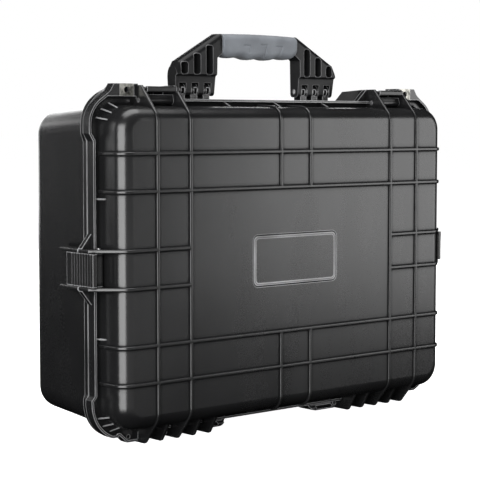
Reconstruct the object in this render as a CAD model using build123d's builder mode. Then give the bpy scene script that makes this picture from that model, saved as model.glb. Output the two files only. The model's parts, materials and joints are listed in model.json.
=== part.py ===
from build123d import *
import math
import os

# Hard carrying case standing on its hinge side: X runs across its width, the lid faces -Y, +Z is up
# at the handle. The origin is at the middle of the footprint, on the surface that it stands on.
# All sizes are millimetres.

# ---- driving dimensions ----
CENTRE_Z = 183.0            # height of the middle of the body
PARTING_Y = -39.0           # plane where the lid meets the base
LID_DEPTH = 44.0            # parting plane to the lid's flat face
BASE_DEPTH = 122.0          # parting plane to the base's flat back
HALF_W = 237.5              # half width of the walls at the parting plane
HALF_H = 166.0              # half height of the walls at the parting plane
PLAN_R = 25.0               # corner radius of the walls
WALL = 3.6
LID_DRAFT = 2.5             # how far the lid's walls lean in over its depth
BASE_DRAFT = 7.0            # how far the base's walls lean in over its depth
LID_EDGE_R = 15.0           # radius between the lid's walls and face
BASE_EDGE_R = 16.0
PARTING_GAP = 0.2           # the halves are held apart by the seal

RIB_W = 4.0
RIB_PROUD = 2.0
RIB_ROUND = 1.4
COLUMN_OUTER = 190.0        # half distance between the outermost upright ribs
COLUMN_INNER = 147.0
COLUMN_MIDDLE = 21.7
ROW_OUTER = 116.7
ROW_INNER = 78.3
ROW_LATCH = 19.2            # the ribs that run out to the side latches

FLANGE_HALF_W = 246.0
FLANGE_HALF_H = 172.5
FLANGE_R = 34.0
LID_FLANGE = 12.0           # parting plane to the front of the lid's flange
BASE_FLANGE = 6.2
FLANGE_GAP = 0.9            # the flanges stand a little further apart than the walls
FLANGE_RIM = 2.4            # solid band around the flange's hollow front
FLANGE_CHANNEL = 5.0        # depth of the hollow
BUMPER_HALF_W = 251.0
BUMPER_LOW = 174.4          # the lower bumpers' level underside
BUMPER_LOW_R = 40.0
BUMPER_START = 133.0        # half height where the corner bumpers step out
BUMPER_SLOPE = 4.0
BUMPER_BEND = 146.0         # where the upper bumpers' sides start to curve in
BUMPER_IN = 217.0           # where the lower bumpers end under the case
GUSSET_H = 12.5             # the webs' height along the wall
GUSSET_REACH = 5.5          # and their reach out over the hollow's floor
GUSSET_T = 1.4
LOW_ARC_TOP = 177.0         # the lower bumpers' curve, before it is cut off level
BRACE_REACH = 17.0
BRACE_DEPTH = 6.0

CREST_R = LID_EDGE_R + RIB_PROUD
CREST_P = -LID_DEPTH - RIB_PROUD
FIN_W = 4.0
KNEE_P = -18.6              # where a latch guard levels out
TIP_P = -22.0               # the tip of a hinge fin
TIP_R = 5.0
GUARD_H = 22.0              # height of the latch guards above the walls
TOP_WALL = 164.0
SIDE_WALL = 236.0
LATCH_COLUMN = (COLUMN_OUTER + COLUMN_INNER) / 2
TOP_GUARD_PITCH = COLUMN_OUTER - COLUMN_INNER
SIDE_GUARD_PITCH = 2 * ROW_LATCH

LATCH_PIN_P = -15.0         # latch hinge: behind the parting plane, and above the wall
LATCH_PIN_H = 6.5
LEVER_PIN_P = 19.0
LEVER_PIN_H = 10.5
LATCH_PIN_R = 2.0
LEVER_PIN_R = 1.6
RUN_GAP = 0.05              # radial clearance of a pin that turns
SIDE_GAP = 0.4              # clearance beside pieces that turn

HINGE_H = 13.0              # the hinge axis, below the bottom wall
HINGE_R = 6.0
HINGE_PIN_R = 2.5
FIN_PITCH = (COLUMN_OUTER - COLUMN_INNER) / 2
FINS = [COLUMN_OUTER - FIN_PITCH * i for i in range(5)]    # every other one ends an outer rib
FOOT_H = CENTRE_Z - TOP_WALL    # from the bottom wall to the surface it stands on
BAR_IN = 62.0               # the bars beside the hinge clusters
BAR_R = 11.0
BAR_DEPTH = 24.0
BAR_RECESS = 5.0

HANDLE_P = 24.5             # middle plane of the handle, behind the parting plane
HANDLE_HALF_T = 8.7
PIVOT_P = 27.5
HANDLE_PIVOT = 183.0        # pivot height above the middle
HANDLE_PIN_R = 2.6
LEG_IN = 61.0
LEG_OUT = 117.5
LEG_TAPER = 2.0             # how far the legs' lower ends stand in at the sides
LEG_EDGE = 6.2              # solid beside the outer slots
LEG_SOLE = HANDLE_PIVOT - 6.5
LEG_STEP = HANDLE_PIVOT + 16.0    # below it the legs' fronts stand back
LEG_BACK_STEP = 3.0
LEG_BACK_SOLE = 5.2
SLOT_W = 9.6
SLOT_PITCH = (LEG_OUT - LEG_IN - 2 * LEG_EDGE - SLOT_W) / 2
SLOT_TOP = 7.6              # the ears' slots, above and below the pivot
SLOT_LOW = 12.0
POCKET_TOP = 231.0          # the pockets over the slots: the innermost one's top
POCKET_FALL = 9.2           # and how much lower the next one's is
EAR_R = 7.0
EAR_W = 11.0
HANDLE_TOP = 245.0
ARM_BOTTOM = 222.0
ARM_ROUND = 7.0
GRIP_BOTTOM = 217.0
GRIP_HALF = 54.0
GRIP_HALF_T = 12.0

PADLOCK_X = 204.2
PADLOCK_Z = 181.1
PADLOCK_R = 3.3
PLATE_T = 2.0
PLATE_W = 17.5
PLATE_H = 12.6
LUG_TOP = PADLOCK_Z + PLATE_H / 2
LUG_IN = COLUMN_OUTER
# Upper corners of each half: half width, the bumper's shoulder, the lug's neck, the lug's outer end.
LID_CORNER = (BUMPER_HALF_W, (237.0, 171.3), (224.6, 180.2), 220.0)
BASE_CORNER = (BUMPER_HALF_W - 2, (237.5, 171.6), (219.7, 182.0), 213.5)
LOW_LUG_X = 200.9           # the small lug beside each hinge cluster, and its drain hole
LOW_LUG_Z = 176.3
LOW_LUG_R = 2.0

SEAL_INSET = 5.2            # from the wall's outside to the middle of the seal
SEAL_W = 4.0
RIM_IN = 9.0                # width of the sealing rim, measured in from the wall's outside
RIM_DEPTH = 8.0

FOAM_GAP = 0.6
FOAM_PAD = 12.0

# Pockets cut through the foam: middle X, middle Z from the case's middle, width, height.
DRONE_POCKET = (-72.0, 34.0, 250.0, 170.0)
REMOTE_POCKET = (140.0, 44.0, 110.0, 150.0)
BATTERY_POCKETS = [(-160.0 + 76.0 * i, -104.0, 58.0, 60.0) for i in range(3)]
CHARGER_POCKET = (134.0, -98.0, 122.0, 72.0)

os.makedirs("parts", exist_ok=True)


# ---- planes ----
def behind(p):
    """The plane p behind the parting plane, seen from the front: local X and Z."""
    return Plane(origin=(0, PARTING_Y + p, CENTRE_Z), x_dir=(1, 0, 0), z_dir=(0, -1, 0))


def side_view(x, z, across):
    """A plane at right angles to the parting line: local x is depth, local y points out of the wall."""
    return Plane(origin=(x, PARTING_Y, CENTRE_Z + z), x_dir=(0, 1, 0), z_dir=across)


UP = (1, 0, 0)              # extrusion direction of profiles that stand on the top wall
DOWN = (-1, 0, 0)
LATCHES = {
    "top_left": (-LATCH_COLUMN, TOP_WALL, UP, TOP_GUARD_PITCH),
    "top_right": (LATCH_COLUMN, TOP_WALL, UP, TOP_GUARD_PITCH),
    "side_left": (-SIDE_WALL, 0.0, (0, 0, 1), SIDE_GUARD_PITCH),
    "side_right": (SIDE_WALL, 0.0, (0, 0, -1), SIDE_GUARD_PITCH),
}


def save(part, name):
    part.label = name
    export_step(part, f"parts/{name}.step")


# ---- bodies of the two halves ----
def lid_body(grow):
    """The lid's outside, or with grow below 0 its inside."""
    with BuildPart() as body:
        with BuildSketch(behind(-PARTING_GAP)):
            RectangleRounded(2 * (HALF_W + grow), 2 * (HALF_H + grow), PLAN_R + grow)
        with BuildSketch(behind(-LID_DEPTH - grow)):
            half_w = HALF_W - LID_DRAFT + grow
            half_h = HALF_H - LID_DRAFT + grow
            RectangleRounded(2 * half_w, 2 * half_h, PLAN_R + grow)
        loft()
        fillet(body.faces().sort_by(Axis.Y)[0].edges(), LID_EDGE_R + grow)
    return body.part


def base_body(grow):
    """The base's outside, or with grow below 0 its inside."""
    with BuildPart() as body:
        with BuildSketch(behind(0)):
            RectangleRounded(2 * (HALF_W + grow), 2 * (HALF_H + grow), PLAN_R + grow)
        with BuildSketch(behind(BASE_DEPTH + grow)):
            half_w = HALF_W - BASE_DRAFT + grow
            half_h = HALF_H - BASE_DRAFT + grow
            RectangleRounded(2 * half_w, 2 * half_h, PLAN_R + grow)
        loft()
        fillet(body.faces().sort_by(Axis.Y)[-1].edges(), BASE_EDGE_R + grow)
    return body.part


# ---- flange around the parting line ----
def bumpers(half_w, shoulder, neck, lug_out):
    """Sketch of the corner bumpers: each steps out of the band along a short slope, and each upper one sweeps
    over its shoulder and neck into a padlock lug."""
    with BuildSketch() as corners:
        for side in (-1, 1):
            with BuildLine():
                Polyline(
                    (side * (FLANGE_HALF_W - 9), BUMPER_START - BUMPER_SLOPE),
                    (side * FLANGE_HALF_W, BUMPER_START - BUMPER_SLOPE),
                    (side * half_w, BUMPER_START + BUMPER_SLOPE),
                    (side * half_w, BUMPER_BEND),
                )
                sweep_in = TangentArc(
                    (side * half_w, BUMPER_BEND), (side * shoulder[0], shoulder[1]), tangent=(0, 1)
                )
                TangentArc(sweep_in @ 1, (side * neck[0], neck[1]), tangent=sweep_in % 1)
                Polyline(
                    (side * neck[0], neck[1]),
                    (side * lug_out, LUG_TOP),
                    (side * LUG_IN, LUG_TOP),
                    (side * LUG_IN, FLANGE_HALF_H - 8),
                    (side * (FLANGE_HALF_W - 9), BUMPER_START - BUMPER_SLOPE),
                )
            make_face()
            with BuildLine():
                Polyline(
                    (side * (FLANGE_HALF_W - 9), -BUMPER_START + BUMPER_SLOPE),
                    (side * FLANGE_HALF_W, -BUMPER_START + BUMPER_SLOPE),
                    (side * (half_w - 1), -BUMPER_START),
                    (side * (half_w - 1), BUMPER_LOW_R - LOW_ARC_TOP),
                )
                TangentArc(
                    (side * (half_w - 1), BUMPER_LOW_R - LOW_ARC_TOP),
                    (side * (half_w - 1 - BUMPER_LOW_R), -LOW_ARC_TOP),
                    tangent=(0, -1),
                )
                Line(
                    (side * (half_w - 1 - BUMPER_LOW_R), -LOW_ARC_TOP),
                    (side * (FLANGE_HALF_W - 9), -BUMPER_START + BUMPER_SLOPE),
                )
            make_face()
        # Cut off level under the case, and clear of the hinge clusters.
        with Locations((0, (LUG_TOP - BUMPER_LOW) / 2)):
            Rectangle(2 * half_w + 2, LUG_TOP + BUMPER_LOW, mode=Mode.INTERSECT)
        with Locations((0, -LUG_TOP)):
            Rectangle(2 * BUMPER_IN, 2 * (LUG_TOP - FLANGE_HALF_H), mode=Mode.SUBTRACT)
    return corners.sketch


def flange_outline(corner):
    """Outline of the flange as a sketch: band, corner bumpers and lugs."""
    with BuildSketch() as outline:
        RectangleRounded(2 * FLANGE_HALF_W, 2 * FLANGE_HALF_H, FLANGE_R)
        add(bumpers(*corner))
        for side in (-1, 1):
            with BuildLine():
                Polyline(
                    (side * COLUMN_OUTER, -FLANGE_HALF_H + 8),
                    (side * COLUMN_OUTER, -LOW_LUG_Z - 5),
                    (side * (LOW_LUG_X + 5), -LOW_LUG_Z - 5),
                    (side * (BUMPER_IN - 1), -FLANGE_HALF_H),
                    (side * (BUMPER_IN - 1), -FLANGE_HALF_H + 8),
                    close=True,
                )
            make_face()
    return outline.sketch


def brace_outline():
    """Sketch of the diagonal braces from the flange to the tops of the latch guards."""
    guard_top = TOP_WALL + GUARD_H
    guard_side = SIDE_WALL + GUARD_H
    with BuildSketch() as outline:
        for side in (-1, 1):
            for level in (-1, 1):
                with BuildLine():
                    Polyline(
                        (side * (FLANGE_HALF_W - 2), level * ROW_LATCH),
                        (side * guard_side, level * (ROW_LATCH + FIN_W / 2)),
                        (side * FLANGE_HALF_W, level * (ROW_LATCH + BRACE_REACH)),
                        (side * (FLANGE_HALF_W - 2), level * (ROW_LATCH + BRACE_REACH)),
                        close=True,
                    )
                make_face()
            with BuildLine():
                Polyline(
                    (side * COLUMN_INNER, FLANGE_HALF_H - 2),
                    (side * (COLUMN_INNER - FIN_W / 2), guard_top),
                    (side * (COLUMN_INNER - BRACE_REACH), FLANGE_HALF_H),
                    (side * (COLUMN_INNER - BRACE_REACH), FLANGE_HALF_H - 2),
                    close=True,
                )
            make_face()
    return outline.sketch


def rounded_plate(half_w, half_h, radius, start, thickness):
    """A rounded slab whose back lies start behind the parting plane."""
    with BuildPart() as slab:
        with BuildSketch(behind(start)):
            RectangleRounded(2 * half_w, 2 * half_h, radius)
        extrude(amount=thickness)
    return slab.part


def latch_notches(back, depth):
    """What is cut from a flange between each pair of latch guards, down to the wall."""
    with BuildPart() as notches:
        for x, z, across, pitch in LATCHES.values():
            with BuildSketch(side_view(x, z, across)):
                with Locations((back - depth / 2, 12.0 + 2.6)):
                    Rectangle(depth, 24.0)
            extrude(amount=pitch / 2 - FIN_W / 2, both=True)
    return notches.part


def hinge_notches(back, depth):
    """What is cut from a flange along the hinge clusters, down to the wall."""
    width = FINS[0] - FINS[-1] + FIN_W
    middle = (FINS[0] + FINS[-1]) / 2
    with BuildPart() as notches:
        for side in (-1, 1):
            with BuildSketch(side_view(side * middle, -TOP_WALL, DOWN)):
                with Locations((back - depth / 2, 12.0 + 2.6)):
                    Rectangle(depth, 24.0)
            extrude(amount=width / 2, both=True)
    return notches.part


# ---- fins ----
def crest_tangent(centre_h, target):
    """Where a straight edge that ends at target leaves the rounded corner of a rib's crest."""
    centre_p = CREST_P + CREST_R
    away = math.atan2(target[1] - centre_h, target[0] - centre_p)
    turn = away + math.acos(CREST_R / math.dist((centre_p, centre_h), target))
    return (centre_p + CREST_R * math.cos(turn), centre_h + CREST_R * math.sin(turn))


def is_run(local):
    """True for the long edges on both sides of a lid fin, not for its back or its inner end."""
    return abs(abs(local.Z) - FIN_W / 2) < 0.01 and local.X < -8.0


def round_edges(plate, plane, chosen, radius):
    fillet(ShapeList([e for e in plate.edges() if chosen(plane.to_local_coords(e.center()))]), radius)


def column_plate(x):
    """An outer upright rib with the latch guard at its top and the hinge fin at its bottom."""
    plane = side_view(x, 0, UP)
    corner = HALF_H - LID_DRAFT - LID_EDGE_R
    knee = (KNEE_P, TOP_WALL + GUARD_H)
    tip = (TIP_P, CENTRE_Z)
    top = crest_tangent(corner, knee)
    low_p, low_h = crest_tangent(corner, tip)
    with BuildPart() as plate:
        with BuildSketch(plane) as profile:
            with BuildLine():
                Line((CREST_P, -corner), (CREST_P, corner))
                TangentArc((CREST_P, corner), top, tangent=(0, 1))
                Polyline(
                    top,
                    knee,
                    (-FLANGE_GAP, knee[1]),
                    (-FLANGE_GAP, -TOP_WALL + 8.0),
                    (-FLANGE_GAP - 2.0, -TOP_WALL + 8.0),
                    (0.0, -TOP_WALL - HINGE_H + HINGE_R),
                    (0.0, -CENTRE_Z),
                    (TIP_P, -CENTRE_Z),
                    (low_p, -low_h),
                )
                TangentArc((CREST_P, -corner), (low_p, -low_h), tangent=(0, -1))
            make_face()
            fillet(profile.vertices().sort_by_distance((TIP_P, -CENTRE_Z))[0], TIP_R)
            with Locations((0.0, -TOP_WALL - HINGE_H)):
                Circle(HINGE_R)
        extrude(amount=FIN_W / 2, both=True)
        round_edges(plate, plane, is_run, RIB_ROUND)
        with BuildSketch(plane):
            with Locations((0.0, -TOP_WALL - HINGE_H)):
                Circle(HINGE_PIN_R + RUN_GAP)
        extrude(amount=FIN_W, both=True, mode=Mode.SUBTRACT)
    return plate.part


def side_plate(side, level):
    """A short level rib that runs out to a side latch and becomes its guard."""
    plane = side_view(side * SIDE_WALL, side * level, (0, 0, -side))
    corner = HALF_W - LID_DRAFT - LID_EDGE_R - SIDE_WALL
    knee = (KNEE_P, GUARD_H)
    out = crest_tangent(corner, knee)
    inner = COLUMN_INNER - SIDE_WALL
    with BuildPart() as plate:
        with BuildSketch(plane):
            with BuildLine():
                Line((CREST_P, inner), (CREST_P, corner))
                TangentArc((CREST_P, corner), out, tangent=(0, 1))
                Polyline(
                    out,
                    knee,
                    (-FLANGE_GAP, GUARD_H),
                    (-FLANGE_GAP, inner),
                    (CREST_P, inner),
                )
            make_face()
        extrude(amount=FIN_W / 2, both=True)
        round_edges(plate, plane, lambda at: is_run(at) and at.Y > inner + 1, RIB_ROUND)
    return plate.part


def hinge_fin(x):
    """A plain hinge fin: it leaves the lid's lower edge, carries the case, and rings the hinge pin."""
    plane = side_view(x, -TOP_WALL, DOWN)
    with BuildPart() as plate:
        with BuildSketch(plane) as profile:
            with BuildLine():
                Polyline(
                    (-42.0, -14.0),
                    (TIP_P, FOOT_H),
                    (0.0, FOOT_H),
                    (0.0, HINGE_H - HINGE_R),
                    (-PARTING_GAP - 2.0, -8.0),
                    (-PARTING_GAP - 2.0, -14.0),
                    close=True,
                )
            make_face()
            fillet(profile.vertices().sort_by_distance((TIP_P, FOOT_H))[0], TIP_R)
            with Locations((0.0, HINGE_H)):
                Circle(HINGE_R)
        extrude(amount=FIN_W / 2, both=True)
        round_edges(plate, plane, lambda at: is_run(at) and at.Y > -13.0, RIB_ROUND)
        with BuildSketch(plane):
            with Locations((0.0, HINGE_H)):
                Circle(HINGE_PIN_R + RUN_GAP)
        extrude(amount=FIN_W, both=True, mode=Mode.SUBTRACT)
    return plate.part


def base_guard(plane):
    """The base's half of a latch guard."""
    with BuildPart() as plate:
        with BuildSketch(plane):
            with BuildLine():
                Polyline(
                    (0.0, -8.0),
                    (0.0, GUARD_H),
                    (34.6, GUARD_H - 2.0),
                    (46.0, 10.0),
                    (52.0, -8.0),
                    close=True,
                )
            make_face()
        extrude(amount=FIN_W / 2, both=True)
        round_edges(plate, plane, is_base_run, RIB_ROUND)
    return plate.part


def is_base_run(local):
    return abs(abs(local.Z) - FIN_W / 2) < 0.01 and local.X > 1.0 and local.Y > -7.0


# ---- lid ----
def lid_rib(x_range, z_range):
    """One moulded rib: a slice of the lid grown by the ribs' height, its crest rounded."""
    across_x = x_range[1] - x_range[0]
    across_z = z_range[1] - z_range[0]
    front = -LID_DEPTH - RIB_PROUD
    back = -LID_FLANGE + FLANGE_CHANNEL + 1.0
    middle = ((x_range[0] + x_range[1]) / 2, (z_range[0] + z_range[1]) / 2)
    with BuildPart() as rib:
        add(GROWN_LID)
        with BuildSketch(behind(back)):
            with Locations(middle):
                Rectangle(across_x, across_z)
        extrude(amount=back - front + 1.0, mode=Mode.INTERSECT)
        upright = across_x < across_z
        centre = middle[0] if upright else middle[1] + CENTRE_Z
        crests = []
        for edge in rib.edges():
            at = edge.center()
            off = abs((at.X if upright else at.Z) - centre)
            on_cut = at.Y > PARTING_Y + back - 0.01
            if abs(off - RIB_W / 2) < 0.01 and not on_cut and not is_buried(at):
                crests.append(edge)
        fillet(ShapeList(crests), RIB_ROUND)
    return rib.part


def is_buried(at):
    """True where a rib's short end face lies inside another rib."""
    inside_x = abs(at.X) < HALF_W - 8.0
    inside_z = abs(at.Z - CENTRE_Z) < HALF_H - 8.0
    return inside_x and inside_z and at.Y > PARTING_Y - LID_DEPTH + 6.0


def rib_layout():
    """X and Z ranges of the ribs that carry no guard or fin."""
    half = RIB_W / 2
    far = 300.0
    ribs = []
    for z in (ROW_OUTER, ROW_INNER):
        for side in (-1, 1):
            ribs.append(((-far, far), (side * z - half, side * z + half)))
    for side in (-1, 1):
        x_range = (side * COLUMN_MIDDLE - half, side * COLUMN_MIDDLE + half)
        ribs.append((x_range, (ROW_INNER, far)))
        ribs.append((x_range, (-far, -ROW_INNER)))
    return ribs


def gusset(x, z, angle):
    """A triangular web that stands on the hollow's floor at the wall: angle 0 points along +X."""
    turn = math.radians(angle)
    out = (math.cos(turn), 0.0, math.sin(turn))
    across = (math.sin(turn), 0.0, -math.cos(turn))
    floor = (x, PARTING_Y - LID_FLANGE + FLANGE_CHANNEL, CENTRE_Z + z)
    foot = Plane(origin=floor, x_dir=out, z_dir=across)
    with BuildPart() as web:
        with BuildSketch(foot):
            with BuildLine():
                Polyline(
                    (-4.0, -1.0),
                    (-4.0, GUSSET_H),
                    (0.0, GUSSET_H),
                    (GUSSET_REACH, 0.0),
                    (GUSSET_REACH, -1.0),
                    close=True,
                )
            make_face()
        extrude(amount=GUSSET_T / 2, both=True)
    return web.part


def gussets():
    """Three webs around each corner, two above and below each side latch, three along top and bottom."""
    webs = []
    reach = PLAN_R - 1.0
    for side in (-1, 1):
        for end in (-1, 1):
            for angle in (24, 45, 67):
                turn = math.radians(angle)
                x = side * (HALF_W - PLAN_R + reach * math.cos(turn))
                z = end * (HALF_H - PLAN_R + reach * math.sin(turn))
                direction = math.degrees(math.atan2(end * math.sin(turn), side * math.cos(turn)))
                webs.append(gusset(x, z, direction))
            webs.append(gusset(side * (HALF_W - 1.0), end * 71.0, 90 - 90 * side))
    for x in (-72.0, 0.0, 72.0):
        for end in (-1, 1):
            webs.append(gusset(x, end * (HALF_H - 1.0), 90 * end))
    return webs


def padlock_seat(back, depth):
    """The shallow pocket that a padlock plate sits in, one in each top lug."""
    with BuildPart() as seats:
        with BuildSketch(behind(back)):
            with Locations((-PADLOCK_X, PADLOCK_Z), (PADLOCK_X, PADLOCK_Z)):
                Rectangle(PLATE_W, PLATE_H)
        extrude(amount=depth)
    return seats.part


def flange_channel():
    """The hollow in the front of the lid's flange, between its rim and the lid's walls."""
    back = -LID_FLANGE + FLANGE_CHANNEL
    lug_room = LID_CORNER[-1] - LUG_IN + 16.0
    with BuildPart() as channel:
        with BuildSketch(behind(back)):
            add(flange_outline(LID_CORNER))
            offset(amount=-FLANGE_RIM, mode=Mode.REPLACE)
            with Locations((-PADLOCK_X, HALF_H + 30.5), (PADLOCK_X, HALF_H + 30.5)):
                Rectangle(lug_room, 44.0, mode=Mode.SUBTRACT)
        extrude(amount=FLANGE_CHANNEL + 1)
        add(lid_body(0), mode=Mode.SUBTRACT)
    return channel.part


def rim_opening(start, thickness):
    """The mouth inside a half's thickened sealing rim."""
    return rounded_plate(HALF_W - RIM_IN, HALF_H - RIM_IN, PLAN_R - RIM_IN, start, thickness)


def lid_inside():
    """The lid's hollow, with a thicker rim that carries the seal."""
    with BuildPart() as inside:
        add(lid_body(-WALL))
        add(rounded_plate(300, 300, 10, 0, RIM_DEPTH), mode=Mode.SUBTRACT)
        add(rim_opening(1, RIM_DEPTH + 2))
    return inside.part


def base_inside():
    """The base's hollow, with a thicker rim that the seal closes on."""
    with BuildPart() as inside:
        add(base_body(-WALL))
        add(rounded_plate(300, 300, 10, RIM_DEPTH, RIM_DEPTH + 2), mode=Mode.SUBTRACT)
        add(rim_opening(RIM_DEPTH + 1, RIM_DEPTH + 3))
    return inside.part


GROWN_LID = lid_body(RIB_PROUD)

with BuildPart() as lid_shell:
    add(lid_body(0))
    # Flange with its hollow front, crossed by thin webs.
    with BuildSketch(behind(-FLANGE_GAP)):
        add(flange_outline(LID_CORNER))
    extrude(amount=LID_FLANGE - FLANGE_GAP)
    with BuildSketch(behind(-FLANGE_GAP)):
        add(brace_outline())
    extrude(amount=BRACE_DEPTH)
    add(flange_channel(), mode=Mode.SUBTRACT)
    add(latch_notches(0, 30), mode=Mode.SUBTRACT)
    add(hinge_notches(0, 10), mode=Mode.SUBTRACT)
    for x_range, z_range in rib_layout():
        add(lid_rib(x_range, z_range))
    for web in gussets():
        add(web)
    for side in (-1, 1):
        for x in FINS:
            if x in (COLUMN_OUTER, COLUMN_INNER):
                add(column_plate(side * x))
            else:
                add(hinge_fin(side * x))
        for level in (-ROW_LATCH, ROW_LATCH):
            add(side_plate(side, level))
    # Nameplate: a shallow rounded groove with a plain middle.
    with BuildSketch(behind(-LID_DEPTH)):
        RectangleRounded(123.5, 56.2, 7.0)
        RectangleRounded(120.5, 53.2, 5.5, mode=Mode.SUBTRACT)
    extrude(amount=-1.0, mode=Mode.SUBTRACT)
    add(lid_inside(), mode=Mode.SUBTRACT)
    # The seal's groove.
    with BuildSketch(behind(-PARTING_GAP)):
        for edge_offset, mode in ((SEAL_W / 2, Mode.ADD), (-SEAL_W / 2, Mode.SUBTRACT)):
            inset = SEAL_INSET - edge_offset
            RectangleRounded(2 * (HALF_W - inset), 2 * (HALF_H - inset), PLAN_R - inset, mode=mode)
    extrude(amount=SEAL_W, mode=Mode.SUBTRACT)
    # Latch hinge pins, padlock holes and plates.
    for x, z, across, pitch in LATCHES.values():
        with BuildSketch(side_view(x, z, across)):
            with Locations((LATCH_PIN_P, LATCH_PIN_H)):
                Circle(LATCH_PIN_R)
        extrude(amount=pitch / 2 + FIN_W, both=True, mode=Mode.SUBTRACT)
    add(padlock_seat(-LID_FLANGE + PLATE_T, 5), mode=Mode.SUBTRACT)
    with BuildSketch(behind(0)):
        with Locations((-PADLOCK_X, PADLOCK_Z), (PADLOCK_X, PADLOCK_Z)):
            Circle(PADLOCK_R)
        with Locations((-LOW_LUG_X, -LOW_LUG_Z), (LOW_LUG_X, -LOW_LUG_Z)):
            Circle(LOW_LUG_R)
    extrude(amount=LID_FLANGE + 2, mode=Mode.SUBTRACT)
save(lid_shell.part, "lid_shell")


# ---- base ----
def slot_middles(side):
    """X of the middles of a leg's three slots, from the hand's gap outwards."""
    return [side * (LEG_IN + LEG_EDGE + SLOT_W / 2 + SLOT_PITCH * i) for i in range(3)]


def handle_ears():
    """Three ears on each side that the handle's legs straddle, each with a pocket in its front."""
    ear_w = SLOT_W - 2 * SIDE_GAP
    with BuildPart() as ears:
        for side in (-1, 1):
            for x in slot_middles(side):
                plane = side_view(x, HANDLE_PIVOT, UP)
                with BuildSketch(plane):
                    with Locations((PIVOT_P, 0)):
                        Circle(EAR_R)
                    with Locations((PIVOT_P, -13)):
                        Rectangle(EAR_W, 26)
                extrude(amount=ear_w / 2, both=True)
                with BuildSketch(plane.offset(-side * 1.2)):
                    with Locations((PIVOT_P - 7.0, -1.0)):
                        Rectangle(6.4, 6.4)
                extrude(amount=ear_w / 2 - 2.4, both=True, mode=Mode.SUBTRACT)
    return ears.part


def foot_profile(plane, width, reach):
    """A foot plate on the base's hinge side, round at its rear."""
    with BuildPart() as plate:
        with BuildSketch(plane):
            with BuildLine():
                Polyline((9.0, FOOT_H), (reach - 12.0, FOOT_H))
                TangentArc((reach - 12.0, FOOT_H), (reach, FOOT_H - 12.0), tangent=(1, 0))
                Polyline((reach, FOOT_H - 12.0), (reach, -8.0), (9.0, -8.0), (9.0, FOOT_H))
            make_face()
        extrude(amount=width / 2, both=True)
    return plate.part


def foot_bar(side):
    """The round-ended bar beside a hinge cluster, with two long recesses in its front."""
    bar_out = FINS[-1] - FIN_W / 2 - SIDE_GAP
    with BuildPart() as bar:
        with BuildSketch(behind(BAR_DEPTH)):
            with BuildLine():
                Polyline(
                    (side * BAR_IN, -CENTRE_Z + BAR_R),
                    (side * BAR_IN, -HALF_H + 6),
                    (side * bar_out, -HALF_H + 6),
                    (side * bar_out, -CENTRE_Z),
                    (side * (BAR_IN + BAR_R), -CENTRE_Z),
                )
                TangentArc(
                    (side * BAR_IN, -CENTRE_Z + BAR_R),
                    (side * (BAR_IN + BAR_R), -CENTRE_Z),
                    tangent=(0, -1),
                )
            make_face()
        extrude(amount=BAR_DEPTH)
        with BuildSketch(behind(BAR_RECESS)):
            for low, inset in ((1.6, 12.0), (6.2, 5.0)):
                start = BAR_IN + inset
                with Locations((side * (start + bar_out - 3.0) / 2, -CENTRE_Z + low + 1.6)):
                    Rectangle(bar_out - 3.0 - start, 3.2)
        extrude(amount=BAR_RECESS, mode=Mode.SUBTRACT)
    return bar.part


def base_hinge():
    """Knuckles between the lid's fins, and the ribbed feet behind them."""
    knuckle_w = FIN_PITCH - FIN_W - 2 * SIDE_GAP
    with BuildPart() as hinge:
        for side in (-1, 1):
            for i in range(4):
                x = side * (FINS[i] - FIN_PITCH / 2)
                with BuildSketch(side_view(x, -TOP_WALL, DOWN)):
                    with BuildLine():
                        Polyline(
                            (0.0, FOOT_H),
                            (12.0, FOOT_H),
                            (12.0, -8.0),
                            (8.5, -8.0),
                            (2.0, HINGE_H - HINGE_R),
                            (0.0, HINGE_H - HINGE_R),
                            close=True,
                        )
                    make_face()
                    with Locations((0.0, HINGE_H)):
                        Circle(HINGE_R)
                extrude(amount=knuckle_w / 2, both=True)
            for x in FINS[:-1]:
                reach = 44.0 if x > COLUMN_INNER + 20 else 86.0
                add(foot_profile(side_view(side * (x - FIN_PITCH / 2), -TOP_WALL, DOWN), FIN_W, reach))
            add(foot_bar(side))
            # Ledges that tie the foot plates together.
            for level, length in ((FOOT_H - 1.5, 26.0), (FOOT_H - 10.0, 30.0)):
                with BuildSketch(side_view(side * (FINS[0] + FINS[-1]) / 2, -TOP_WALL, DOWN)):
                    with Locations((11.0 + length / 2, level)):
                        Rectangle(length, 3.0)
                extrude(amount=(FINS[0] - FINS[-1]) / 2 + 3, both=True)
        # The pin's hole runs through the knuckles only.
        with BuildSketch(side_view(0, -TOP_WALL, DOWN)):
            with Locations((0.0, HINGE_H)):
                Circle(HINGE_PIN_R)
        extrude(amount=COLUMN_OUTER + 20, both=True, mode=Mode.SUBTRACT)
    return hinge.part


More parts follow.
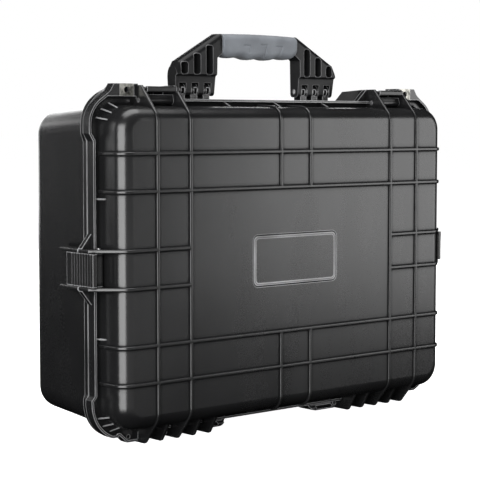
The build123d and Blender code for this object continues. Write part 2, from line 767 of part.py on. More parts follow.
with BuildPart() as base_shell:
    add(base_body(0))
    with BuildSketch(behind(BASE_FLANGE)):
        add(flange_outline(BASE_CORNER))
        with Locations((0, -LUG_TOP)):
            Rectangle(2 * BUMPER_IN, 2 * (LUG_TOP - FLANGE_HALF_H), mode=Mode.SUBTRACT)
    extrude(amount=BASE_FLANGE)
    add(latch_notches(BASE_FLANGE + 1, BASE_FLANGE + 2), mode=Mode.SUBTRACT)
    add(hinge_notches(BASE_FLANGE + 1, BASE_FLANGE + 2), mode=Mode.SUBTRACT)
    for x, z, across, pitch in LATCHES.values():
        for side in (-1, 1):
            add(base_guard(side_view(x, z, across).offset(side * pitch / 2)))
    add(handle_ears())
    add(base_hinge())
    # Strike bar under each latch claw.
    for x, z, across, pitch in LATCHES.values():
        with BuildSketch(side_view(x, z, across)):
            with Locations((12.0, 1.3)):
                Rectangle(5.0, 6.6)
        extrude(amount=pitch / 2, both=True)
    # Four pads on the back, for lying flat.
    with BuildSketch(behind(BASE_DEPTH + RIB_PROUD)):
        with GridLocations(330, 230, 2, 2):
            RectangleRounded(46, 16, 6)
    extrude(amount=RIB_PROUD + 1)
    add(base_inside(), mode=Mode.SUBTRACT)
    with BuildSketch(side_view(0, HANDLE_PIVOT, UP)):
        with Locations((PIVOT_P, 0)):
            Circle(HANDLE_PIN_R)
    extrude(amount=LEG_OUT + 5, both=True, mode=Mode.SUBTRACT)
    add(padlock_seat(BASE_FLANGE + 1, PLATE_T + 1), mode=Mode.SUBTRACT)
    with BuildSketch(behind(BASE_FLANGE + 1)):
        with Locations((-PADLOCK_X, PADLOCK_Z), (PADLOCK_X, PADLOCK_Z)):
            Circle(PADLOCK_R)
    extrude(amount=BASE_FLANGE + 2, mode=Mode.SUBTRACT)
save(base_shell.part, "base_shell")


# ---- padlock plates ----
for name, side in (("left", -1), ("right", 1)):
    for half, back in (("lid", -LID_FLANGE + PLATE_T), ("base", BASE_FLANGE)):
        with BuildPart() as plate:
            with BuildSketch(behind(back)):
                with Locations((side * PADLOCK_X, PADLOCK_Z)):
                    Rectangle(PLATE_W, PLATE_H)
                    Circle(PADLOCK_R, mode=Mode.SUBTRACT)
            extrude(amount=PLATE_T)
        save(plate.part, f"padlock_plate_{half}_{name}")


# ---- seal ----
with BuildPart() as gasket:
    with BuildSketch(behind(-PARTING_GAP)):
        for edge_offset, mode in ((SEAL_W / 2, Mode.ADD), (-SEAL_W / 2, Mode.SUBTRACT)):
            inset = SEAL_INSET - edge_offset
            RectangleRounded(2 * (HALF_W - inset), 2 * (HALF_H - inset), PLAN_R - inset, mode=mode)
    extrude(amount=SEAL_W)
save(gasket.part, "gasket")


# ---- hinge pins ----
for name, side in (("left", -1), ("right", 1)):
    reach = (FINS[0] - FINS[-1] + FIN_W) / 2
    with BuildPart() as hinge_pin:
        with BuildSketch(side_view(side * (FINS[0] + FINS[-1]) / 2, -TOP_WALL, DOWN)):
            with Locations((0.0, HINGE_H)):
                Circle(HINGE_PIN_R)
        extrude(amount=reach, both=True)
    save(hinge_pin.part, f"hinge_pin_{name}")


# ---- latches ----
LEVER_UNDER = 15.6          # underside of a lever above the wall
LEVER_FACE = 19.0
LEVER_TIP = 20.8


def claw(plane, half_w):
    """The plate that a latch turns on: a hub on the lid's pin, a bridge, and an ear for the lever."""
    ear_half = half_w - 5.6
    with BuildPart() as piece:
        with BuildSketch(plane):
            with Locations((LATCH_PIN_P, LATCH_PIN_H)):
                Circle(4.4)
            with BuildLine():
                Polyline(
                    (-19.4, LATCH_PIN_H),
                    (-18.0, 12.6),
                    (-9.0, 12.6),
                    (-6.0, 10.2),
                    (11.0, 10.2),
                    (11.0, 5.0),
                    (-12.0, 5.0),
                    (-15.0, LATCH_PIN_H),
                    close=True,
                )
            make_face()
        extrude(amount=half_w - SIDE_GAP, both=True)
        with BuildSketch(plane):
            with Locations((15.0, 7.6)):
                Rectangle(12.0, 5.2)
            with Locations((LEVER_PIN_P, LEVER_PIN_H)):
                Circle(4.4)
            with Locations((LEVER_PIN_P + 1.0, 6.6)):
                Rectangle(6.0, 3.2)
        extrude(amount=ear_half, both=True)
        for place, radius in (
            ((LATCH_PIN_P, LATCH_PIN_H), LATCH_PIN_R + RUN_GAP),
            ((LEVER_PIN_P, LEVER_PIN_H), LEVER_PIN_R),
        ):
            with BuildSketch(plane):
                with Locations(place):
                    Circle(radius)
            extrude(amount=half_w + 1, both=True, mode=Mode.SUBTRACT)
    return piece.part


def lever(plane, half_w):
    """The ribbed plate that a finger lifts by its front lip."""
    with BuildPart() as piece:
        with BuildSketch(plane):
            with BuildLine():
                Polyline(
                    (-23.0, LEVER_UNDER),
                    (LEVER_PIN_P, LEVER_UNDER),
                    (LEVER_PIN_P + 6.0, LEVER_UNDER - 1.0),
                    (LEVER_PIN_P + 7.0, LEVER_UNDER + 0.6),
                    (LEVER_PIN_P + 4.0, LEVER_FACE),
                    (-23.0, LEVER_FACE),
                    close=True,
                )
            make_face()
            for i in range(8):
                with Locations((-18.6 + 4.6 * i, LEVER_FACE)):
                    Circle(1.3)
            with Locations((-23.0, (LEVER_TIP + 14.8) / 2)):
                SlotCenterToCenter(LEVER_TIP - 14.8 - 3.4, 3.4, rotation=90)
        extrude(amount=half_w - SIDE_GAP, both=True)
        with BuildSketch(plane):
            with Locations((LEVER_PIN_P, LEVER_PIN_H)):
                Circle(4.6)
            with Locations((LEVER_PIN_P, (LEVER_PIN_H + LEVER_FACE) / 2)):
                Rectangle(9.2, LEVER_FACE - LEVER_PIN_H)
        extrude(amount=half_w - SIDE_GAP, both=True)
        with BuildSketch(plane):
            with Locations((LEVER_PIN_P, LEVER_UNDER - 6)):
                Rectangle(16.0, 12.0)
        extrude(amount=half_w - 5.2, both=True, mode=Mode.SUBTRACT)
        with BuildSketch(plane):
            with Locations((LEVER_PIN_P, LEVER_PIN_H)):
                Circle(LEVER_PIN_R + RUN_GAP)
        extrude(amount=half_w + 1, both=True, mode=Mode.SUBTRACT)
    return piece.part


def pin(plane, place, radius, half_length):
    with BuildPart() as piece:
        with BuildSketch(plane):
            with Locations(place):
                Circle(radius)
        extrude(amount=half_length, both=True)
    return piece.part


for name, (x, z, across, pitch) in LATCHES.items():
    latch_plane = side_view(x, z, across)
    latch_half = pitch / 2 - FIN_W / 2
    save(claw(latch_plane, latch_half), f"latch_claw_{name}")
    save(lever(latch_plane, latch_half), f"latch_lever_{name}")
    hinge_place = (LATCH_PIN_P, LATCH_PIN_H)
    save(pin(latch_plane, hinge_place, LATCH_PIN_R, pitch / 2 + FIN_W / 2 + 0.4), f"latch_hinge_pin_{name}")
    lever_place = (LEVER_PIN_P, LEVER_PIN_H)
    save(pin(latch_plane, lever_place, LEVER_PIN_R, latch_half - SIDE_GAP), f"latch_lever_pin_{name}")


# ---- handle ----
CORE_BOTTOM = ARM_BOTTOM + 2.0
CORE_TOP = HANDLE_TOP - 5.0
CORE_T = 12.0

with BuildPart() as handle_frame:
    with BuildSketch(behind(HANDLE_P + HANDLE_HALF_T)):
        for side in (-1, 1):
            with BuildLine():
                Polyline(
                    (side * (LEG_IN + LEG_TAPER / 2), LEG_SOLE),
                    (side * LEG_IN, ARM_BOTTOM - 4.0),
                    (side * GRIP_HALF, ARM_BOTTOM + 1.0),
                    (side * GRIP_HALF, HANDLE_TOP - 1.0),
                    (side * (LEG_IN - 1.0), HANDLE_TOP - 1.2),
                    (side * (LEG_OUT - 3.0), LEG_STEP + 14.5),
                    (side * LEG_OUT, LEG_STEP + 9.0),
                    (side * (LEG_OUT - LEG_TAPER), LEG_SOLE),
                    close=True,
                )
            make_face()
    extrude(amount=2 * HANDLE_HALF_T)
    # Rounded shoulders.
    shoulders = []
    for edge in handle_frame.edges():
        at = edge.center()
        on_face = abs(abs(at.Y - PARTING_Y - HANDLE_P) - HANDLE_HALF_T) < 0.01
        if on_face and at.Z - CENTRE_Z > LEG_STEP + 11.0 and abs(at.X) > LEG_IN + 1.0:
            shoulders.append(edge)
    fillet(ShapeList(shoulders), ARM_ROUND)
    # Lower ends whose fronts stand back.
    with BuildSketch(side_view(0, 0, UP)):
        front = HANDLE_P - HANDLE_HALF_T
        with BuildLine():
            Polyline(
                (front - 1.0, LEG_STEP + 1.0),
                (front, LEG_STEP + 1.0),
                (front + LEG_BACK_STEP, LEG_STEP - 1.5),
                (front + LEG_BACK_SOLE, LEG_SOLE - 1.0),
                (front - 1.0, LEG_SOLE - 1.0),
                close=True,
            )
        make_face()
    extrude(amount=LEG_OUT + 1, both=True, mode=Mode.SUBTRACT)
    # Slots for the base's ears, and the pockets above them.
    for side in (-1, 1):
        for i, slot_x in enumerate(slot_middles(side)):
            with BuildSketch(behind(HANDLE_P + HANDLE_HALF_T + 1.0)):
                with Locations((slot_x, HANDLE_PIVOT + (SLOT_TOP - SLOT_LOW) / 2)):
                    Rectangle(SLOT_W, SLOT_TOP + SLOT_LOW)
            extrude(amount=2 * HANDLE_HALF_T + 2.0, mode=Mode.SUBTRACT)
            pocket_top = POCKET_TOP - POCKET_FALL * i
            with BuildSketch(behind(HANDLE_P + HANDLE_HALF_T - 4.5)):
                with Locations((slot_x, (pocket_top + LEG_STEP + 1.0) / 2)):
                    RectangleRounded(SLOT_W, pocket_top - LEG_STEP - 1.0, 3.0)
            extrude(amount=16.0, mode=Mode.SUBTRACT)
    # Core bar inside the grip.
    with BuildSketch(behind(HANDLE_P + CORE_T / 2)):
        with Locations((0, (CORE_BOTTOM + CORE_TOP) / 2)):
            Rectangle(2 * GRIP_HALF + 2, CORE_TOP - CORE_BOTTOM)
    extrude(amount=CORE_T)
    # Pivot bores.
    with BuildSketch(side_view(0, HANDLE_PIVOT, UP)):
        with Locations((PIVOT_P, 0)):
            Circle(HANDLE_PIN_R + RUN_GAP)
    extrude(amount=LEG_OUT + 5, both=True, mode=Mode.SUBTRACT)
    # Rounded feet of the legs.
    soles = [
        e
        for e in handle_frame.edges().filter_by(Axis.X)
        if abs(e.center().Z - CENTRE_Z - LEG_SOLE) < 0.01
    ]
    fillet(ShapeList(soles), 4.0)
save(handle_frame.part, "handle_frame")

with BuildPart() as handle_grip:
    with BuildSketch(behind(HANDLE_P + GRIP_HALF_T)):
        with BuildLine():
            Polyline((-GRIP_HALF, GRIP_BOTTOM + 6), (-GRIP_HALF, HANDLE_TOP - 1))
            Spline(
                (-GRIP_HALF, HANDLE_TOP - 1),
                (0, HANDLE_TOP),
                (GRIP_HALF, HANDLE_TOP - 1),
            )
            Polyline((GRIP_HALF, HANDLE_TOP - 1), (GRIP_HALF, GRIP_BOTTOM + 6))
            bumps = [GRIP_HALF - 2 * GRIP_HALF * i / 8 for i in range(9)]
            rises = [6.0, 1.4, 2.4, 0.0, 1.5, 0.0, 2.4, 1.4, 6.0]
            Spline(*[(x, GRIP_BOTTOM + rise) for x, rise in zip(bumps, rises)])
        make_face()
    extrude(amount=2 * GRIP_HALF_T)
    long_edges = [
        e
        for e in handle_grip.edges()
        if abs(abs(e.center().Y - PARTING_Y - HANDLE_P) - GRIP_HALF_T) < 0.01 and e.length > 60
    ]
    fillet(ShapeList(long_edges), 7.0)
    with BuildSketch(behind(HANDLE_P + CORE_T / 2)):
        with Locations((0, (CORE_BOTTOM + CORE_TOP) / 2)):
            Rectangle(2 * GRIP_HALF + 2, CORE_TOP - CORE_BOTTOM)
    extrude(amount=CORE_T, mode=Mode.SUBTRACT)
save(handle_grip.part, "handle_grip")

for name, side in (("left", -1), ("right", 1)):
    pivot_plane = side_view(side * (LEG_IN + LEG_OUT) / 2, HANDLE_PIVOT, UP)
    half_length = (LEG_OUT - LEG_IN - LEG_TAPER) / 2 - 0.6
    save(pin(pivot_plane, (PIVOT_P, 0), HANDLE_PIN_R, half_length), f"handle_pin_{name}")


# ---- foam ----
FOAM_HALF_W = HALF_W - RIM_IN - FOAM_GAP
FOAM_HALF_H = HALF_H - RIM_IN - FOAM_GAP
FOAM_R = PLAN_R - WALL + FOAM_GAP
FOAM_LEAN = 1.5             # how far the deep foam's sides stand in, to clear the base's draft

with BuildPart() as foam_lid:
    with BuildSketch(behind(-PARTING_GAP - FOAM_GAP)):
        RectangleRounded(2 * FOAM_HALF_W, 2 * FOAM_HALF_H, FOAM_R)
    extrude(amount=LID_DEPTH - WALL - PARTING_GAP - 2 * FOAM_GAP)
    fillet(foam_lid.faces().sort_by(Axis.Y)[0].edges(), 12.0)
save(foam_lid.part, "foam_lid")

FOAM_BACK = BASE_DEPTH - WALL - FOAM_GAP
POCKETS = [DRONE_POCKET, REMOTE_POCKET, *BATTERY_POCKETS, CHARGER_POCKET]
with BuildPart() as foam_insert:
    with BuildSketch(behind(FOAM_GAP)):
        RectangleRounded(2 * (FOAM_HALF_W - FOAM_LEAN), 2 * (FOAM_HALF_H - FOAM_LEAN), FOAM_R)
        for x, z, width, height in POCKETS:
            with Locations((x, z)):
                RectangleRounded(width, height, 12.0, mode=Mode.SUBTRACT)
        # Finger scoops beside the drone and the remote control.
        with Locations((-72.0 - 125.0, 34.0), (-72.0 + 125.0, 34.0)):
            Circle(16.0, mode=Mode.SUBTRACT)
    extrude(amount=-(FOAM_BACK - FOAM_PAD - 2 * FOAM_GAP))
save(foam_insert.part, "foam_insert")

with BuildPart() as foam_pad:
    with BuildSketch(behind(FOAM_BACK)):
        pad_half_w = FOAM_HALF_W - 4.0
        pad_half_h = FOAM_HALF_H - 4.0
        RectangleRounded(2 * pad_half_w, 2 * pad_half_h, FOAM_R)
    extrude(amount=FOAM_PAD)
    fillet(foam_pad.faces().sort_by(Axis.Y)[-1].edges(), 10.0)
save(foam_pad.part, "foam_pad")
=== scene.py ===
import json
import math

import bmesh
import bpy
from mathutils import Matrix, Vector, noise


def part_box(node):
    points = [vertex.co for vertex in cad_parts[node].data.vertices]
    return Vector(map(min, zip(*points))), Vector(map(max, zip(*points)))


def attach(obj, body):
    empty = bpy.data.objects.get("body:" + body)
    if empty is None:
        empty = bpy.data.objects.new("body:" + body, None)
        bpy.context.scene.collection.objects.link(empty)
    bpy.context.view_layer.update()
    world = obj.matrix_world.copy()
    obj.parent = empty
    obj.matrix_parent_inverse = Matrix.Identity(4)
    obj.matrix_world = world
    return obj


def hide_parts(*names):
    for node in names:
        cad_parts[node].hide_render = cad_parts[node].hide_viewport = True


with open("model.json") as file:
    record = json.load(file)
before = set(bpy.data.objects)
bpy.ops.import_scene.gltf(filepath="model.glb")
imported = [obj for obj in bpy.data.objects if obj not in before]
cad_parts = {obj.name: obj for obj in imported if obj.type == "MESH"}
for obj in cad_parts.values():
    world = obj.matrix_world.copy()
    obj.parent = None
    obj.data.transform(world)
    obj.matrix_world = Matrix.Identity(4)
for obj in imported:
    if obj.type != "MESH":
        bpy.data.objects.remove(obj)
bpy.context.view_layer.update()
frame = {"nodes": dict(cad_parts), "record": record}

NODES = frame["nodes"]
COARSE = 1.0  # how much coarser the remeshed pieces are in a quick try

# Finger marks on the grip, in metres: left and right end, depth of the upper line and of the lower end
# below the grip's top, and how far the lower end leans in.
GRIP_MARKS = [
    (-0.0250, -0.0165, 0.0130, 0.0200, 0.0010),
    (-0.0010, 0.0080, 0.0115, 0.0250, 0.0030),
    (0.0220, 0.0310, 0.0130, 0.0210, 0.0030),
]
MARK_DEPTH = 0.0007
MARK_SPREAD = 0.0008
FLASH_HEIGHT = 0.00025
FLASH_SPREAD = 0.0006

# The bead round the plain field in the middle of the lid, in metres.
FIELD_HALF_X = 0.0588
FIELD_HALF_Z = 0.0252
FIELD_Z = 0.183
FIELD_CORNER = 0.0050
BEAD_WIDTH = 0.0024
BEAD_PROUD = 0.0010
BEAD_FOOT = 0.0002
BEAD_BACK = 0.0025  # from the rib crests back to the plane that the bead grows from


# ---------------------------------------------------------------- materials
class Shader:
    """A material under construction: a Principled BSDF with nodes added one by one."""

    def __init__(self, name):
        self.material = bpy.data.materials.new(name)
        self.material.use_nodes = True
        self.tree = self.material.node_tree
        self.tree.nodes.clear()
        output = self.tree.nodes.new("ShaderNodeOutputMaterial")
        self.bsdf = self.tree.nodes.new("ShaderNodeBsdfPrincipled")
        self.tree.links.new(self.bsdf.outputs[0], output.inputs[0])
        coordinates = self.tree.nodes.new("ShaderNodeTexCoord")
        self.place = coordinates.outputs["Object"]

    def node(self, kind, **settings):
        made = self.tree.nodes.new("ShaderNode" + kind)
        for key, value in settings.items():
            setattr(made, key, value)
        return made

    def link(self, source, target):
        self.tree.links.new(source, target)

    def noise(self, scale, detail=2.0, roughness=0.5, stretch=None):
        made = self.node("TexNoise")
        made.inputs["Scale"].default_value = scale
        made.inputs["Detail"].default_value = detail
        made.inputs["Roughness"].default_value = roughness
        source = self.place
        if stretch:
            mapping = self.node("Mapping")
            mapping.inputs["Scale"].default_value = stretch
            self.link(source, mapping.inputs["Vector"])
            source = mapping.outputs[0]
        self.link(source, made.inputs["Vector"])
        return made.outputs["Fac"]

    def cells(self, scale):
        made = self.node("TexVoronoi", feature="F1")
        made.inputs["Scale"].default_value = scale
        self.link(self.place, made.inputs["Vector"])
        return made.outputs["Distance"]

    def ramp(self, source, low, high, out_low, out_high):
        """The source's range from low to high, spread over out_low to out_high."""
        made = self.node("MapRange")
        limits = {"From Min": low, "From Max": high, "To Min": out_low, "To Max": out_high}
        for key, value in limits.items():
            made.inputs[key].default_value = value
        self.link(source, made.inputs["Value"])
        return made.outputs[0]

    def mix(self, factor, first, second):
        """From the first colour to the second as the factor rises; the first may be another node's output."""
        made = self.node("Mix", data_type="RGBA")
        if isinstance(first, tuple):
            made.inputs["A"].default_value = (*first, 1)
        else:
            self.link(first, made.inputs["A"])
        made.inputs["B"].default_value = (*second, 1)
        self.link(factor, made.inputs["Factor"])
        return made.outputs["Result"]

    def math(self, operation, a, b):
        made = self.node("Math", operation=operation)
        for slot, value in zip(made.inputs, (a, b)):
            if isinstance(value, (int, float)):
                slot.default_value = value
            else:
                self.link(value, slot)
        return made.outputs[0]

    def bump(self, height, distance, strength, under=None):
        made = self.node("Bump")
        made.inputs["Distance"].default_value = distance
        made.inputs["Strength"].default_value = strength
        self.link(height, made.inputs["Height"])
        if under is not None:
            self.link(under, made.inputs["Normal"])
        return made.outputs[0]

    def occlusion(self, reach, inside, low, high, out_low, out_high):
        """How open the surface is within reach: low in grooves or, from inside, along edges and crests."""
        made = self.node("AmbientOcclusion", samples=16, inside=inside)
        made.inputs["Distance"].default_value = reach
        return self.ramp(made.outputs["AO"], low, high, out_low, out_high)

    def finish(self, color, roughness, normal=None, **values):
        """Feeds the BSDF and returns the material."""
        self.link(color, self.bsdf.inputs["Base Color"])
        if isinstance(roughness, float):
            self.bsdf.inputs["Roughness"].default_value = roughness
        else:
            self.link(roughness, self.bsdf.inputs["Roughness"])
        if normal is not None:
            self.link(normal, self.bsdf.inputs["Normal"])
        for key, value in values.items():
            self.bsdf.inputs[key.replace("_", " ")].default_value = value
        return self.material


def moulded_plastic(name, dark, light, rough, grain, shine, crest_highlight):
    """Satin injection-moulded plastic: fine spark-eroded grain, faint flow marks, edges and crests painted
    pale as a painted highlight, and painted shade in grooves, where the specular is taken away.

    rough is the range of roughness, grain the fineness of the texture, shine the specular level in the
    open, and the last argument how pale the painted highlight makes the edges and crests.
    """
    s = Shader(name)
    cloud = s.noise(14.0, 4.0, 0.6)
    fleck = s.noise(900.0, 2.0, 0.7)
    tone = s.math("ADD", s.math("MULTIPLY", cloud, 0.7), s.math("MULTIPLY", fleck, 0.3))
    body = s.mix(s.ramp(tone, 0.35, 0.65, 0.0, 1.0), dark, light)
    # Painted highlight: edges and crests, found by the inside occlusion, are painted pale in the base colour,
    # standing in for bright highlights on them.
    edge = s.occlusion(0.0012, True, 0.5, 0.9, 0.85, 0.0)
    painted_highlight = s.math("MULTIPLY", edge, s.ramp(cloud, 0.35, 0.6, 0.5, 1.0))
    color = s.mix(painted_highlight, body, (crest_highlight, crest_highlight, crest_highlight * 1.02))
    smear = s.noise(5.0, 5.0, 0.65, (1.0, 1.0, 0.35))
    roughness = s.ramp(s.math("ADD", smear, s.math("MULTIPLY", fleck, 0.25)), 0.4, 0.85, *rough)
    pits = s.bump(s.noise(grain, 2.0, 0.8), 0.00006, 0.3)
    skin = s.bump(s.noise(grain * 0.25, 3.0, 0.6), 0.0001, 0.25, pits)
    waves = s.bump(s.noise(9.0, 2.0, 0.5), 0.0012, 0.12, skin)
    # Painted shade: the specular level drops to nothing in grooves and at the feet of ribs, painting dark
    # lines beside them.
    painted_crease_shade = s.occlusion(0.006, False, 0.76, 0.96, 0.0, shine)
    s.link(painted_crease_shade, s.bsdf.inputs["Specular IOR Level"])
    return s.finish(color, roughness, waves)


def moulded_rubber(name, dark, light):
    """Matte grey rubber with a soft grain."""
    s = Shader(name)
    cloud = s.noise(40.0, 4.0, 0.6)
    color = s.mix(s.ramp(cloud, 0.35, 0.65, 0.0, 1.0), dark, light)
    roughness = s.ramp(s.noise(160.0, 3.0), 0.3, 0.7, 0.5, 0.72)
    grain = s.bump(s.cells(1500.0), 0.00015, 0.5)
    skin = s.bump(s.noise(400.0, 3.0), 0.0002, 0.4, grain)
    return s.finish(color, roughness, skin, Specular_IOR_Level=0.4, Sheen_Weight=0.08, Sheen_Roughness=0.5)


def brushed_metal(name, dark, light, rough, stretch):
    """Steel with fine drawn lines and a few dull patches."""
    s = Shader(name)
    lines = s.noise(700.0, 3.0, 0.6, stretch)
    patch = s.noise(160.0, 3.0, 0.6)
    color = s.mix(s.ramp(patch, 0.35, 0.65, 0.0, 1.0), dark, light)
    roughness = s.ramp(s.math("ADD", lines, s.math("MULTIPLY", patch, 0.4)), 0.5, 0.9, *rough)
    scratches = s.bump(lines, 0.0001, 0.4)
    return s.finish(color, roughness, scratches, Metallic=1.0)


def cell_foam(name, dark, light):
    """Open-cell foam: thousands of tiny pores, their middles darkened with painted shade, over a soft mottled
    charcoal.
    """
    s = Shader(name)
    pores = s.cells(900.0)
    cloud = s.noise(25.0, 3.0, 0.6)
    # Painted shade: the colour darkens towards each pore's middle, as shade inside the pores; the bump below
    # gives the pores their shape.
    tone = s.math("MULTIPLY", s.ramp(pores, 0.05, 0.5, 0.25, 1.0), s.ramp(cloud, 0.3, 0.7, 0.75, 1.1))
    color = s.mix(tone, dark, light)
    holes = s.bump(pores, 0.0009, 0.9)
    skin = s.bump(s.noise(300.0, 4.0, 0.7), 0.0008, 0.6, holes)
    return s.finish(color, 0.95, skin, Specular_IOR_Level=0.15, Sheen_Weight=0.15, Sheen_Roughness=0.8)


BLACK = (0.0085, 0.0086, 0.0090)
SOFT_BLACK = (0.0140, 0.0141, 0.0146)
SHELL = moulded_plastic(
    "shell_plastic", (0.0075, 0.0076, 0.0080), (0.0125, 0.0126, 0.0130),
    rough=(0.21, 0.31), grain=2600.0, shine=0.5, crest_highlight=0.50,
)
LATCH = moulded_plastic(
    "latch_plastic", BLACK, SOFT_BLACK, rough=(0.20, 0.30), grain=3000.0, shine=0.40, crest_highlight=0.42
)
HANDLE = moulded_plastic(
    "handle_plastic", BLACK, (0.0110, 0.0111, 0.0115),
    rough=(0.17, 0.28), grain=2800.0, shine=0.12, crest_highlight=0.16,
)
BEAD = moulded_plastic(
    "bead_plastic", BLACK, SOFT_BLACK, rough=(0.22, 0.32), grain=2600.0, shine=0.5, crest_highlight=0.22
)
GRIP = moulded_rubber("grip_rubber", (0.125, 0.135, 0.150), (0.165, 0.178, 0.195))
SEAL = moulded_rubber("seal_rubber", (0.010, 0.010, 0.011), (0.018, 0.018, 0.019))
STEEL = brushed_metal("pin_steel", (0.50, 0.50, 0.50), (0.66, 0.66, 0.67), (0.22, 0.40), (1.0, 1.0, 12.0))
PLATE = brushed_metal("plate_steel", (0.10, 0.10, 0.09), (0.50, 0.49, 0.45), (0.30, 0.50), (0.15, 1.0, 4.0))
FOAM = cell_foam("foam_cells", (0.006, 0.006, 0.0065), (0.030, 0.030, 0.032))

FINISHES = {
    "shell": SHELL,
    "handle_plastic": HANDLE,
    "latch_plastic": LATCH,
    "grip_rubber": GRIP,
    "seal_rubber": SEAL,
    "steel": STEEL,
    "steel_plate": PLATE,
    "foam": FOAM,
}


def paint_cad_nodes():
    """Gives each CAD node the material that its slot names."""
    slot_of = {row["node"]: row["material_slot"] for row in frame["record"]["subparts"]}
    for name, node in NODES.items():
        node.data.materials.clear()
        node.data.materials.append(FINISHES[slot_of[name]])


paint_cad_nodes()


# ---------------------------------------------------------------- making pieces
def wobble(place, scale, seed):
    """A repeatable value from about -1 to 1 that varies smoothly over the distance 1 / scale."""
    return noise.noise(Vector(place) * scale + Vector((seed, -seed, 2.0 * seed)))


def link_piece(name, mesh, material, body):
    """A smooth-shaded piece that rides on a body."""
    mesh.materials.clear()
    mesh.materials.append(material)
    for face in mesh.polygons:
        face.use_smooth = True
    piece = bpy.data.objects.new(name, mesh)
    bpy.context.scene.collection.objects.link(piece)
    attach(piece, body)
    return piece


def made_mesh(name, work):
    """The finished mesh of a bmesh whose faces all look outward."""
    bmesh.ops.recalc_face_normals(work, faces=work.faces)
    mesh = bpy.data.meshes.new(name)
    work.to_mesh(mesh)
    work.free()
    return mesh


def link_foam(node, mesh, body):
    """Puts a foam mesh in a CAD node's place."""
    piece = link_piece(node + "_cells", mesh, FOAM, body)
    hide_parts(node)


def remeshed(node, voxel, smoothings, rise):
    """A fine mesh over a CAD node's shape, edges rounded, points moved out by rise(place, normal)."""
    source = NODES[node]
    mesh = source.data.copy()
    mesh.transform(source.matrix_world)
    block = bpy.data.objects.new("block", mesh)
    bpy.context.scene.collection.objects.link(block)
    remesh = block.modifiers.new("remesh", "REMESH")
    remesh.mode = "VOXEL"
    remesh.voxel_size = voxel
    smooth = block.modifiers.new("smooth", "SMOOTH")
    smooth.factor = 0.5
    smooth.iterations = smoothings
    done = bpy.data.meshes.new_from_object(block.evaluated_get(bpy.context.evaluated_depsgraph_get()))
    bpy.data.objects.remove(block)
    bpy.data.meshes.remove(mesh)
    moved = [v.co + v.normal * rise(v.co, v.normal) for v in done.vertices]
    for v, place in zip(done.vertices, moved):
        v.co = place
    return done


# ---------------------------------------------------------------- foam
def cut_foam(node, body, voxel, seed):
    """A block of foam with its pockets, its cut edges rounded off and its faces rippled."""

    def ripple(place, normal):
        broad = 0.35 * wobble(place, 22.0, seed) + 0.25 * wobble(place, 90.0, seed + 3.0)
        return 0.001 * (broad + 0.2 * wobble(place, 260.0, seed + 5.0)) - 0.0002

    link_foam(node, remeshed(node, voxel, 3, ripple), body)


def egg_crate_foam(node, body, corner, back_round, pitch, depth, step, seed):
    """A rounded block whose face towards the base rises and falls in a regular crop of soft peaks."""
    low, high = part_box(node)
    middle = (low + high) / 2
    half = Vector(((high.x - low.x) / 2, 0, (high.z - low.z) / 2))
    columns = round(2 * half.x / step)
    rows = round(2 * half.z / step)

    def plan(i, j, inset):
        """A grid corner's X and Z, pulled onto the rounded outline."""
        hx, hz, r = half.x - inset, half.z - inset, max(corner - inset, 0.002)
        x = hx * (2 * i / columns - 1)
        z = hz * (2 * j / rows - 1)
        over_x, over_z = abs(x) - (hx - r), abs(z) - (hz - r)
        if over_x > 0 and over_z > 0 and math.hypot(over_x, over_z) > r:
            pull = r / math.hypot(over_x, over_z)
            x = math.copysign(hx - r + over_x * pull, x)
            z = math.copysign(hz - r + over_z * pull, z)
        return x, z

    work = bmesh.new()
    grid = {}
    for i in range(columns + 1):
        for j in range(rows + 1):
            x, z = plan(i, j, 0.0)
            rim = min(half.x - abs(x), half.z - abs(z))
            wave = 0.5 - 0.5 * math.cos(2 * math.pi * x / pitch) * math.cos(2 * math.pi * z / pitch)
            wave = wave * wave * (3 - 2 * wave)
            sink = depth * wave * min(1.0, 0.35 + rim / 0.02)
            sink += 0.0004 * (1 + wobble((x, 0, z), 120.0, seed)) + 0.003 * max(0.0, 1 - rim / 0.004) ** 2
            grid[i, j] = work.verts.new((middle.x + x, high.y - sink, middle.z + z))
    for i in range(columns):
        for j in range(rows):
            work.faces.new((grid[i, j], grid[i, j + 1], grid[i + 1, j + 1], grid[i + 1, j]))
    border = [(i, 0) for i in range(columns)] + [(columns, j) for j in range(rows)]
    border += [(i, rows) for i in range(columns, 0, -1)] + [(0, j) for j in range(rows, 0, -1)]
    ring = [grid[at] for at in border]
    sides = [(0.0, (low.y + high.y) / 2)]
    for k in range(7):
        turn = math.pi / 2 * k / 6
        sides.append((back_round * (1 - math.cos(turn)), low.y + back_round * (1 - math.sin(turn))))
    for inset, y in sides:
        inner = []
        for at in border:
            x, z = plan(*at, inset)
            inner.append(work.verts.new((middle.x + x, y, middle.z + z)))
        for k in range(len(ring)):
            following = (k + 1) % len(ring)
            work.faces.new((ring[k], ring[following], inner[following], inner[k]))
        ring = inner
    work.faces.new(ring)
    link_foam(node, made_mesh(node + "_cells", work), body)


cut_foam("foam_insert", "base", voxel=0.0022 * COARSE, seed=1.0)
cut_foam("foam_pad", "base", voxel=0.003 * COARSE, seed=2.0)
egg_crate_foam(
    "foam_lid", "lid", corner=0.0215, back_round=0.012,
    pitch=0.032, depth=0.013, step=0.0025 * COARSE, seed=4.0,
)


# ---------------------------------------------------------------- grip and nameplate
def to_line(x, z, a, b):
    """Distance of a point from the straight line between a and b."""
    along_x, along_z = b[0] - a[0], b[1] - a[1]
    share = ((x - a[0]) * along_x + (z - a[1]) * along_z) / (along_x**2 + along_z**2)
    share = min(1.0, max(0.0, share))
    return math.hypot(x - a[0] - share * along_x, z - a[1] - share * along_z)


